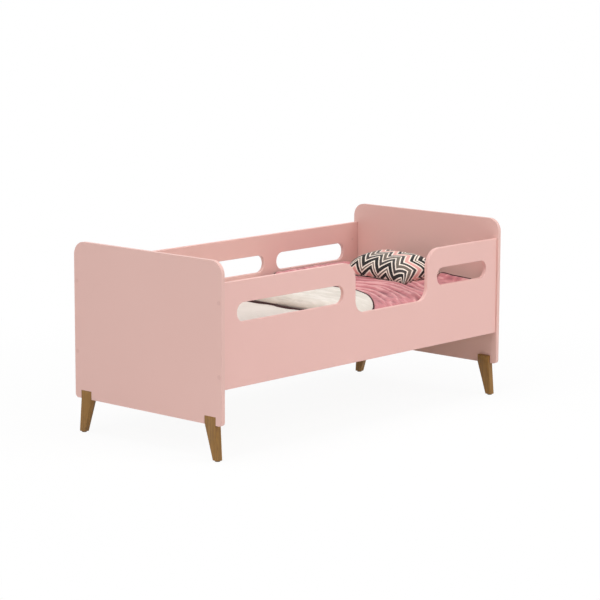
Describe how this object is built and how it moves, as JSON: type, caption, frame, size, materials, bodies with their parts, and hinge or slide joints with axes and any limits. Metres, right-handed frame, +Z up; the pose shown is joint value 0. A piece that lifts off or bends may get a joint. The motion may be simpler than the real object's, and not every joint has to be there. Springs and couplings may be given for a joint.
{
  "type": "toddler bed",
  "caption": "Low bed of lacquered board with rounded ends, slotted guard panels, an entry dip, splayed wooden legs, slat base, mattress, folded quilt and pillow.",
  "frame": {"origin": "on the floor, under the middle of the bed's overall box", "axes": "+X towards the head end, -Y towards the entry side, +Z up"},
  "size_m": [1.5612, 0.74, 0.7],
  "materials": {
    "end_board": "satin lacquer on fibreboard",
    "guard_board": "satin lacquer on fibreboard",
    "leg_wood": "oiled, straight grain",
    "dowel_wood": "fluted beech",
    "pine": "planed, bare",
    "zinc": "zinc plated",
    "yellow_zinc": "yellow zinc plated",
    "cap_plastic": "matt",
    "felt": "pressed felt",
    "mattress_ticking": "woven cover on foam",
    "cream_jersey": "cotton jersey",
    "quilt_cotton": "washed cotton, dark piping, cream reverse",
    "pillow_cotton": "printed cotton, zigzag stripes"
  },
  "bodies": {
    "bed_frame": {"headboard": "end_board", "footboard": "end_board", "front_guard": "guard_board", "back_guard": "guard_board", "leg_front_foot": "leg_wood", "leg_back_foot": "leg_wood", "leg_front_head": "leg_wood", "leg_back_head": "leg_wood", "leg_dowels": "dowel_wood", "leg_glides": "felt", "panel_bolts": "zinc", "barrel_nuts": "zinc", "panel_dowels": "dowel_wood", "cover_caps": "cap_plastic", "front_ledger": "pine", "back_ledger": "pine", "ledger_screws": "yellow_zinc", "slat_1": "pine", "slat_2": "pine", "slat_3": "pine", "slat_4": "pine", "slat_5": "pine", "slat_6": "pine", "slat_7": "pine", "slat_8": "pine", "slat_9": "pine", "slat_10": "pine", "slat_11": "pine", "slat_12": "pine", "slat_13": "pine", "slat_screws": "yellow_zinc"},
    "mattress": {"mattress": "mattress_ticking", "fitted_sheet": "cream_jersey", "quilt": "quilt_cotton"},
    "pillow": {"pillow": "pillow_cotton"}
  },
  "joints": [
    {"name": "mattress_lift", "type": "slide", "parent": "bed_frame", "child": "mattress", "axis": [0, 0, 1], "range_m": [0, 0.45]},
    {"name": "pillow_lift", "type": "slide", "parent": "mattress", "child": "pillow", "axis": [0, 0, 1], "range_m": [0, 0.3]}
  ]
}
